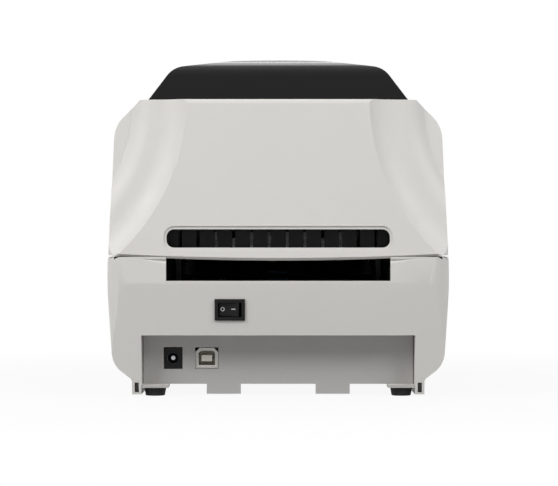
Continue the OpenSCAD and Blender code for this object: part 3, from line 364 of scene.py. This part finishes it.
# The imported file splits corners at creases: those this near, in mm, are joined again
WELD_REACH = 0.002
FLAT_ANGLE = math.radians(0.6)
EDGE_ANGLE = math.radians(28)


def round_edges(obj, width):
    """A small rounding, width mm wide, along the edges that turn by more than EDGE_ANGLE."""
    bevel = obj.modifiers.new("bevel", "BEVEL")
    bevel.width = width * MM
    bevel.segments = 2
    bevel.limit_method = "ANGLE"
    bevel.angle_limit = EDGE_ANGLE
    bevel.harden_normals = True


def soften(node, width):
    """Small rounded edges and smooth curves on a CAD node, by modifiers alone."""
    for polygon in node.data.polygons:
        polygon.use_smooth = True
    weld = node.modifiers.new("weld", "WELD")
    weld.merge_threshold = WELD_REACH * MM
    merge = node.modifiers.new("merge", "DECIMATE")
    merge.decimate_type = "DISSOLVE"
    merge.angle_limit = FLAT_ANGLE
    round_edges(node, width)
    even = node.modifiers.new("even", "WEIGHTED_NORMAL")
    even.keep_sharp = True


def dress_nodes():
    """Each CAD node gets its finish, and rounded edges where EDGE_WIDTHS has it."""
    for part in frame["record"]["subparts"]:
        name = part["node"]
        finish = materials[NODE_FINISHES.get(name, part["material_slot"])]
        if nodes[name].material_slots:
            for slot in nodes[name].material_slots:
                slot.material = finish
        else:
            nodes[name].data.materials.append(finish)
        if name in EDGE_WIDTHS:
            soften(nodes[name], EDGE_WIDTHS[name])


def corners_mm(node):
    """A node's box in mm."""
    low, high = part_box(node)
    return [v / MM for v in low], [v / MM for v in high]


def ray(node, start, towards):
    """Where a ray in mm first meets a node, and the face's normal there."""
    mesh = nodes[node].data
    tree = BVHTree.FromPolygons([v.co for v in mesh.vertices], [p.vertices for p in mesh.polygons])
    place, normal, _, _ = tree.ray_cast(Vector(start) * MM, Vector(towards))
    normal = normal if normal.dot(Vector(towards)) < 0 else -normal
    return place / MM, normal


def seated(node, starts, towards):
    """Each start carried along a ray until it meets the node."""
    return [ray(node, start, towards)[0] for start in starts]


# ---------------------------------------------------------------- ways to build a piece

BOX_FACES = ((0, 1, 3, 2), (4, 6, 7, 5), (0, 4, 5, 1), (2, 3, 7, 6), (0, 2, 6, 4), (1, 5, 7, 3))
# A pan-head screw, as shares of its radius and height
SCREW_OUTLINE = ((1, 0), (1, 0.45), (0.86, 0.8), (0.66, 1))
CROSS_HALF = 0.13
CROSS_ARM = 0.58
CROSS_DEPTH = 0.45
CROSS_TAPER = 0.7


def in_scene(name, data):
    """A new object with this data, linked to the scene."""
    obj = bpy.data.objects.new(name, data)
    bpy.context.scene.collection.objects.link(obj)
    return obj


def mesh_object(name, build):
    """An object from a bmesh in metres, which is used up."""
    mesh = bpy.data.meshes.new(name)
    build.to_mesh(mesh)
    build.free()
    return in_scene(name, mesh)


def piece(name, build, finish, body, smooth=True, edge=0.0):
    """An object from a bmesh, in metres in the row frame, that rides on a body."""
    bmesh.ops.recalc_face_normals(build, faces=build.faces)
    obj = mesh_object(name, build)
    obj.data.materials.append(finish)
    for polygon in obj.data.polygons:
        polygon.use_smooth = smooth
    if edge:
        round_edges(obj, edge)
    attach(obj, body)
    return obj


def frame_at(place, normal, turn=0.0):
    """A matrix whose Z points along normal at place, in mm, turned about it."""
    spin = Vector(normal).to_track_quat("Z", "Y").to_matrix().to_4x4()
    return Matrix.Translation(Vector(place) * MM) @ spin @ Matrix.Rotation(turn, 4, "Z")


def corners(build, points, where):
    """New corners of a bmesh at points in mm, carried by a matrix."""
    return [build.verts.new(where @ (Vector(point) * MM)) for point in points]


def skin(build, rings):
    """Faces from each ring of corners to the next."""
    for lower, upper in zip(rings, rings[1:]):
        for i in range(len(lower)):
            j = (i + 1) % len(lower)
            build.faces.new((lower[i], lower[j], upper[j], upper[i]))


def lathe(build, profile, where, steps=24):
    """Rings turned from (radius, height) pairs in mm, with the faces between them."""
    rings = []
    for radius, height in profile:
        angles = [2 * math.pi * i / steps for i in range(steps)]
        circle = [(radius * math.cos(a), radius * math.sin(a), height) for a in angles]
        rings.append(corners(build, circle, where))
    skin(build, rings)
    return rings


def turned_ring(profile, where, steps):
    """A bmesh of a closed (radius, height) outline in mm, turned about the matrix's Z."""
    build = bmesh.new()
    rings = lathe(build, profile, where, steps)
    skin(build, [rings[-1], rings[0]])
    return build


def block(build, low, high, where=Matrix.Identity(4)):
    """A box from its two corners in mm."""
    points = [(x, y, z) for x in (low[0], high[0]) for y in (low[1], high[1]) for z in (low[2], high[2])]
    verts = corners(build, points, where)
    for face in BOX_FACES:
        build.faces.new([verts[i] for i in face])


def loop_edges(build, ring):
    """The edges that join a ring's corners."""
    return [build.edges.get((ring[i - 1], ring[i])) for i in range(len(ring))]


def screw(build, place, normal, radius, height, turn):
    """A pan-head screw with a cross recess, its washer face at place."""
    where = frame_at(place, normal, turn)
    rings = lathe(build, [(radius * r, height * h) for r, h in SCREW_OUTLINE], where)
    half, arm = radius * CROSS_HALF, radius * CROSS_ARM
    quarter = [(half, half), (half, arm), (-half, arm)]
    cross = []
    for _ in range(4):
        cross += quarter
        quarter = [(-y, x) for x, y in quarter]
    floor_z = height - height * CROSS_DEPTH
    top = corners(build, [(x, y, height) for x, y in cross], where)
    low = corners(build, [(x * CROSS_TAPER, y * CROSS_TAPER, floor_z) for x, y in cross], where)
    skin(build, [top, low])
    build.faces.new(low)
    rim = loop_edges(build, rings[-1]) + loop_edges(build, top)
    bmesh.ops.triangle_fill(build, edges=rim, use_beauty=True)


def screws(name, places, normal, body, radius, height):
    """Several screws in one piece, each turned as it came tight."""
    random.seed(sum(map(ord, name)))
    build = bmesh.new()
    for place in places:
        screw(build, place, normal, radius, height, random.uniform(0, math.pi / 2))
    piece(name, build, materials["steel"], body)


def coil_spring(name, x, y, low, high, radius, wire, turns, body):
    """A compression spring with closed ends, swept as a tube. Sizes are in mm."""
    build = bmesh.new()
    steps, sides = 30, 10
    closed = 1.0
    closed_rise = wire * 1.9
    free = turns - 2 * closed
    free_rise = (high - low) - 2 * wire - 2 * closed * closed_rise
    rings = []
    for i in range(int(turns * steps) + 1):
        t = i / steps
        z = low + wire + min(t, closed) * closed_rise
        z += max(0.0, min(t - closed, free)) / free * free_rise
        z += max(0.0, t - closed - free) * closed_rise
        out = Vector((math.cos(2 * math.pi * t), math.sin(2 * math.pi * t), 0))
        middle = Vector((x, y, z)) + out * radius
        angles = [2 * math.pi * k / sides for k in range(sides)]
        circle = [middle + out * (wire * math.cos(a)) + Vector((0, 0, wire * math.sin(a))) for a in angles]
        rings.append(corners(build, circle, Matrix.Identity(4)))
    skin(build, rings)
    build.faces.new(rings[0][::-1])
    build.faces.new(rings[-1])
    return piece(name, build, materials["steel"], body)


# ---------------------------------------------------------------- detail pieces

# Small prints, pads and parts start this far under the face that they lie on, in mm
SUNK = 0.02
# A ray that comes from outside the printer starts here, in mm
OUTSIDE = 200


def make_springs():
    """Wound springs in place of the two plain ones that press the print head down."""
    for side, x in (("left", 30), ("right", -30)):
        low, high = corners_mm("head_spring_" + side)
        made = coil_spring("head_coil_" + side, x, (low[1] + high[1]) / 2, low[2], high[2],
                           radius=4.0, wire=0.8, turns=7.5, body="base")
        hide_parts("head_spring_" + side)
        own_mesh(made)


def make_switch_marks():
    """O and a bar on the rocker's two pads."""
    middle_x, middle_z, apart = 26, 45.3, 2.8
    proud = 0.04
    ring_in, ring_out = 0.72, 1.08
    bar_half, bar_half_h = 1.1, 0.24
    place, normal = ray("switch_rocker", (middle_x + apart, OUTSIDE, middle_z), (0, -1, 0))
    outline = [(ring_in, -SUNK), (ring_out, -SUNK), (ring_out, proud), (ring_in, proud)]
    ring = turned_ring(outline, frame_at(place, normal), 32)
    place, normal = ray("switch_rocker", (middle_x - apart, OUTSIDE, middle_z), (0, -1, 0))
    bar = bmesh.new()
    block(bar, (-bar_half, -bar_half_h, -SUNK), (bar_half, bar_half_h, proud), frame_at(place, normal))
    for name, build in (("rocker_ring_mark", ring), ("rocker_bar_mark", bar)):
        made = piece(name, build, materials["mark_ink"], "rocker", smooth=False)


def make_foot_pads():
    """Thin grey facings on the two visible sides of the rear foot pads."""
    foot_x, foot_y, pad_half, pad_h = HALF_W - 24.8, REAR_Y - 14, 7, 1.5
    inner, outer = foot_x - pad_half, foot_x + 6.7
    front, rear = foot_y - pad_half, foot_y + pad_half
    thick, under = 0.15, 0.05
    facings = ((inner - thick, outer, rear - under, rear + thick),
               (inner - thick, inner + under, front, rear))
    for side, name in ((1, "left"), (-1, "right")):
        foot_top = corners_mm("foot_rear_" + name)[1][2]
        build = bmesh.new()
        for x0, x1, y0, y1 in facings:
            low, high = sorted((side * x0, side * x1))
            block(build, (low, y0, foot_top), (high, y1, foot_top + pad_h))
        made = piece("foot_pad_" + name, build, materials["chassis_plastic"], "base", smooth=False)


def make_grille():
    """Grille behind the lid's rear slot: broad upright bars in a shallow frame."""
    low, high = corners_mm("lid_grid")
    bars_each_side, bar_w, pitch = 6, 7.7, 9.3
    bar_from, bar_to, bar_gap = 5, 7.2, 1
    rail, shelf, cheek = 1.5, 10, 1.6
    front = low[1]
    build = bmesh.new()
    for i in range(-bars_each_side, bars_each_side + 1):
        x = i * pitch
        block(build, (x - bar_w / 2, front + bar_from, low[2] + bar_gap),
              (x + bar_w / 2, front + bar_to, high[2] - bar_gap))
    block(build, (low[0], front, high[2] - rail), high)
    block(build, low, (high[0], front + shelf, low[2] + rail))
    for x0, x1 in ((low[0], low[0] + cheek), (high[0] - cheek, high[0])):
        block(build, (x0, front, low[2]), (x1, high[1], high[2]))
    made = piece("rear_grille", build, materials["frame_plastic"], "lid", smooth=False, edge=0.2)
    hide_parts("lid_grid")


def make_port_parts():
    """Gilt contacts on the data port's tongue and a plated sleeve in the power jack."""
    panel_y, port_z = REAR_Y - 16, 19.3
    usb_x, contact_apart, contact_half = 37.4, 1.25, 0.5
    contact_from, contact_to = panel_y - 10.4, panel_y - 1.5
    contact_levels = ((1.45, 1.62), (-1.82, -1.65))
    jack_x, jack_depth = 55, 6
    sleeve_in, sleeve_out, sleeve_l = 2.95, 3.22, 5.2
    lip, lip_r = 0.1, 3.1
    build = bmesh.new()
    for x in (usb_x - contact_apart, usb_x + contact_apart):
        for z0, z1 in contact_levels:
            block(build, (x - contact_half, contact_from, port_z + z0),
                  (x + contact_half, contact_to, port_z + z1))
    made = piece("data_port_contacts", build, materials["contact_gilt"], "base", smooth=False, edge=0.04)
    outline = [(sleeve_in, 0), (sleeve_out, 0), (sleeve_out, sleeve_l), (lip_r, sleeve_l + lip),
               (sleeve_in, sleeve_l)]
    sleeve = turned_ring(outline, frame_at((jack_x, panel_y - jack_depth, port_z), (0, 1, 0)), 40)
    made = piece("power_jack_sleeve", sleeve, materials["jack_nickel"], "base")


def make_screws():
    """Screws under the chassis, at the main board's holes and at the ends of the head's bridge."""
    up, down = (0, 0, 1), (0, 0, -1)
    chassis_x, chassis_y = (-50, 50), (-88, 72)
    hole_x, hole_y = (-36, 62), (70.5, 108.5)
    bridge_x, bridge_y = (-52.5, 52.5), -102.5
    under = [(x, y, -OUTSIDE) for x in chassis_x for y in chassis_y]
    screws("chassis_screws", seated("base_chassis", under, up), down, "base", radius=3.0, height=1.4)
    board_top = corners_mm("main_board")[1][2]
    holes = [(x, y, board_top) for x in hole_x for y in hole_y]
    screws("board_screws", holes, up, "base", radius=2.5, height=1.2)
    over = [(x, bridge_y, OUTSIDE) for x in bridge_x]
    screws("bridge_screws", seated("head_bridge", over, down), up, "base", radius=2.4, height=1.3)


def make_board_details():
    """Chips, passives and solder on the main board, beside what the CAD has there."""
    random.seed(11)
    chips = ((-22, 90, 10, 10), (-24, 74, 6, 5), (60, 74, 5, 4))
    chip_low, chip_high = 0.15, 1.5
    leg_pitch, leg_w, leg_l, leg_out, leg_high = 1.1, 0.4, 1.2, 0.5, 0.25
    passives, long, short, passive_high = 26, 2.0, 1.2, 0.7
    field_x, field_y = (-14, 2), (69, 111)
    solder_out, solder_in, solder_high = 0.25, 0.3, 0.74
    top = corners_mm("main_board")[1][2]
    build = bmesh.new()
    legs = bmesh.new()
    for cx, cy, w, d in chips:
        block(build, (cx - w / 2, cy - d / 2, top + chip_low), (cx + w / 2, cy + d / 2, top + chip_high))
        count = int(w / leg_pitch)
        for i in range(count):
            x = cx - w / 2 + (i + 0.5) * w / count
            for side in (-1, 1):
                y = cy + side * (d / 2 + leg_out)
                block(legs, (x - leg_w / 2, y - leg_l / 2, top - SUNK),
                      (x + leg_w / 2, y + leg_l / 2, top + leg_high))
    for i in range(passives):
        x, y = random.uniform(*field_x), random.uniform(*field_y)
        w, d = (long, short) if i % 2 else (short, long)
        block(build, (x - w / 2, y - d / 2, top - SUNK), (x + w / 2, y + d / 2, top + passive_high))
        for side in (-1, 1):
            end = x + side * w / 2
            x0, x1 = sorted((end + side * solder_out, end - side * solder_in))
            block(legs, (x0, y - d / 2, top - SUNK), (x1, y + d / 2, top + solder_high))
    made = piece("board_chips", build, materials["chip_black"], "base", smooth=False, edge=0.08)
    made = piece("board_solder", legs, materials["steel"], "base", smooth=False, edge=0.05)


# ---------------------------------------------------------------- the lid's smoked window

# Where the lid's top lies, in mm, as part.scad has it
PART_Z = 73
RIM_Z = 154.8
LID_REAR_Y = REAR_Y - 1.9
REAR_SLOPE = math.tan(math.radians(8))
RIM_REAR_Y = LID_REAR_Y - (RIM_Z - PART_Z) * REAR_SLOPE
RIM_FRONT_Y = -REAR_Y + 46
BROW_Y = -REAR_Y + 5.5
BROW_Z = PART_Z + 38

# How far, in mm, the chords of a rounded corner may lie inside it, and its fewest chords
CHORD_DEPTH = 0.02
FEWEST_CHORDS = 4
# A mitre is limited where the outline turns more sharply than this allows
SHARPEST_MITRE = 0.2


def rounded(path):
    """A closed path of (u, v, radius) corners with each corner turned by its radius."""
    points = []
    for i, (u, v, radius) in enumerate(path):
        at = Vector((u, v))
        if not radius:
            points.append(at)
            continue
        back = (Vector(path[i - 1][:2]) - at).normalized()
        on = (Vector(path[(i + 1) % len(path)][:2]) - at).normalized()
        half = math.acos(max(-1, min(1, back.dot(on)))) / 2
        centre = at + (back + on).normalized() * radius / math.sin(half)
        first = at + back * radius / math.tan(half) - centre
        last = at + on * radius / math.tan(half) - centre
        turn = math.atan2(first.x * last.y - first.y * last.x, first.dot(last))
        steps = max(FEWEST_CHORDS, math.ceil(abs(turn) / math.sqrt(8 * CHORD_DEPTH / radius)))
        for k in range(steps + 1):
            a = turn * k / steps
            points.append(centre + Vector((first.x * math.cos(a) - first.y * math.sin(a),
                                           first.x * math.sin(a) + first.y * math.cos(a))))
    return points


def mirrored_path(half, middle=()):
    """A path from one side over the middle to the other side."""
    return [*half, *middle, *((-u, v, radius) for u, v, radius in reversed(half))]


def inset(points, by):
    """A closed path drawn in by a distance, its turns kept."""
    area = sum(p.x * q.y - q.x * p.y for p, q in zip(points, points[1:] + points[:1]))
    side = 1 if area > 0 else -1
    moved = []
    for i, p in enumerate(points):
        before = (p - points[i - 1]).normalized()
        after = (points[(i + 1) % len(points)] - p).normalized()
        n0, n1 = Vector((-before.y, before.x)) * side, Vector((-after.y, after.x)) * side
        moved.append(p + (n0 + n1) * by / max(SHARPEST_MITRE, 1 + n0.dot(n1)))
    return moved


def prism(name, points, across, reach):
    """A path pushed both ways along X (points are y, z) or Y (points are x, z), in mm."""
    build = bmesh.new()
    ends = []
    for at in (-reach, reach):
        places = [(at, p.x, p.y) if across == "X" else (p.x, at, p.y) for p in points]
        ends.append(corners(build, places, Matrix.Identity(4)))
    build.faces.new(ends[0])
    build.faces.new(ends[1][::-1])
    skin(build, ends)
    bmesh.ops.recalc_face_normals(build, faces=build.faces)
    return mesh_object(name, build)


def cut(obj, tool, operation):
    """The first object, its mesh now an exact boolean with the second, which is used up."""
    step = obj.modifiers.new("cut", "BOOLEAN")
    step.operation = operation
    step.object = tool
    step.solver = "EXACT"
    bpy.context.view_layer.update()
    made = bpy.data.meshes.new_from_object(obj.evaluated_get(bpy.context.evaluated_depsgraph_get()))
    obj.modifiers.clear()
    obj.data = made
    bpy.data.objects.remove(tool)
    return obj


def crossed(name, section, side, reach_x, reach_y):
    """The solid that a section along Y and a side outline along X have in common."""
    return cut(prism(name, section, "Y", reach_y), prism(name + "_side", side, "X", reach_x), "INTERSECT")


def window_outlines():
    """The window's section and side, closed far below the lid's rim, where the lid cuts them off."""
    half, top_z, crown_z, below = 68.4, 180.5, 180.4, 60
    rear = RIM_REAR_Y - 7
    section = rounded(mirrored_path([
        (half, RIM_Z - below, 0),
        (half, RIM_Z - 0.3, 0),
        (half - 12.6, top_z - 7.3, 12),                 # side shoulder
    ], [(0, crown_z, 215)]))
    side = rounded([
        (rear, RIM_Z - below, 0),
        (rear, RIM_Z, 0),
        (rear - 17, top_z - 4.3, 26),                   # rear shoulder
        (rear - 75, top_z + 2.9, 160),                  # crest
        (RIM_FRONT_Y + 20, top_z - 2.5, 60),            # where the top turns down to the brow
        (BROW_Y + 2.5, BROW_Z + 10.5, 2),               # front edge
        (BROW_Y + 12, BROW_Z + 1, 0),
        (BROW_Y + 12, RIM_Z - below, 0),
    ])
    return section, side


def lid_outlines():
    """The lid's section and side, as part.scad has them, from a little below the parting line."""
    below = 12
    section = rounded(mirrored_path([
        (HALF_W - 0.3, PART_Z - below, 0),
        (HALF_W - 2.8, RIM_Z - 13.7, 17),
        (HALF_W - 16.3, RIM_Z, 0),
    ]))
    side = rounded([
        (LID_REAR_Y + below * REAR_SLOPE, PART_Z - below, 0),
        (RIM_REAR_Y, RIM_Z, 3),
        (RIM_FRONT_Y, RIM_Z, 24),
        (BROW_Y, BROW_Z, 20),
        (-LID_REAR_Y, PART_Z - below, 0),
    ])
    return section, side


def make_window():
    """The smoked window: two crowned outlines crossed, hollowed, and cut to the lid's top."""
    wall, sharp_angle = 2.2, math.radians(18)
    section, side = window_outlines()
    dome = crossed("window_dome", section, side, reach_x=90, reach_y=132)
    hollow = crossed("hollow", inset(section, wall), inset(side, wall), reach_x=89.5, reach_y=131)
    dome = cut(dome, hollow, "DIFFERENCE")
    lid = crossed("lid", *lid_outlines(), reach_x=95, reach_y=140)
    dome = cut(dome, lid, "DIFFERENCE")
    dome.data.materials.clear()
    dome.data.materials.append(materials["window_plastic"])
    for polygon in dome.data.polygons:
        polygon.use_smooth = True
        polygon.material_index = 0
    dome.data.set_sharp_from_angle(angle=sharp_angle)
    round_edges(dome, width=0.5)
    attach(dome, "lid")
    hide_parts("lid_window")


# ---------------------------------------------------------------- stage

# The photo's camera looks level at the rear. Places are in metres and the sensor is in mm. The
# scale, in pixels per metre, holds at FACE_Y.
IMAGE_W = 558
REAR_PX_PER_M = 1934
FACE_Y = 0.130
CAMERA_BACK = 1.10
CAMERA_HEIGHT = 0.0795
CAMERA_X = -0.0004
SENSOR = 36

WORLD_LEVEL = 0.22
FLOOR_GREY = (0.42, 0.42, 0.42, 1.0)
FLOOR_HALF = 3
# Each lamp's name, place, aim, size and watts
LAMPS = (
    ("left", (1.25, 1.0, 1.25), (0, 0.1, 0.1), (0.9, 0.9), 25),
    ("right", (-1.25, 1.0, 1.25), (0, 0.1, 0.1), (0.9, 0.9), 18.5),
    ("front", (0.2, -1.3, 1.3), (0, -0.1, 0.1), (1.2, 0.9), 12),
)


def make_camera():
    data = bpy.data.cameras.new("camera")
    data.sensor_width = SENSOR
    data.lens = SENSOR * CAMERA_BACK * REAR_PX_PER_M / IMAGE_W
    camera = in_scene("camera", data)
    camera.location = (CAMERA_X, FACE_Y + CAMERA_BACK, CAMERA_HEIGHT)
    camera.rotation_euler = (math.radians(90), 0, math.radians(180))
    bpy.context.scene.camera = camera


def make_lamps():
    for name, place, aim, size, watts in LAMPS:
        data = bpy.data.lights.new(name, "AREA")
        data.shape = "RECTANGLE"
        data.size, data.size_y = size
        data.energy = watts
        made = in_scene(name, data)
        made.location = place
        made.rotation_euler = (Vector(aim) - Vector(place)).to_track_quat("-Z", "Y").to_euler()


def make_world():
    """A soft even light that shows as white wherever the background is seen."""
    world = bpy.data.worlds.new("studio")
    bpy.context.scene.world = world
    world.use_nodes = True
    tree = world.node_tree
    background = tree.nodes["Background"]
    background.inputs["Color"].default_value = (1, 1, 1, 1)
    strength = add_node(tree, "MapRange")
    strength.inputs["To Min"].default_value = WORLD_LEVEL
    strength.inputs["To Max"].default_value = 1.0
    tree.links.new(seen(tree), strength.inputs["Value"])
    tree.links.new(strength.outputs["Result"], background.inputs["Strength"])


def floor_material():
    """Matt near the object, where it takes the shadow, and plain white further off."""
    near_share, near, far_off = 0.92, 0.13, 0.4
    paint = Paint("pale_floor", Base_Color=FLOOR_GREY, Roughness=0.9)
    distance = paint.node("VectorMath", operation="LENGTH")
    paint.link(paint.place, distance, 0)
    fade = paint.spread(distance.outputs["Value"], low=near_share, high=1.0, start=near, end=far_off)
    mix = paint.node("MixShader")
    paint.link(paint.times(seen(paint.tree), fade), mix, "Fac")
    paint.link(paint.shader.outputs["BSDF"], mix, 1)
    paint.link(paint.node("Emission").outputs["Emission"], mix, 2)
    paint.link(mix.outputs["Shader"], paint.tree.nodes["Material Output"], "Surface")
    return paint.material


def make_floor():
    build = bmesh.new()
    bmesh.ops.create_grid(build, x_segments=1, y_segments=1, size=FLOOR_HALF)
    made = mesh_object("floor", build)
    made.data.materials.append(floor_material())


dress_nodes()
make_springs()
make_switch_marks()
make_foot_pads()
make_grille()
make_port_parts()
make_screws()
make_board_details()
make_window()
make_camera()
make_world()
make_floor()
make_lamps()
bpy.context.scene.view_settings.view_transform = "Standard"
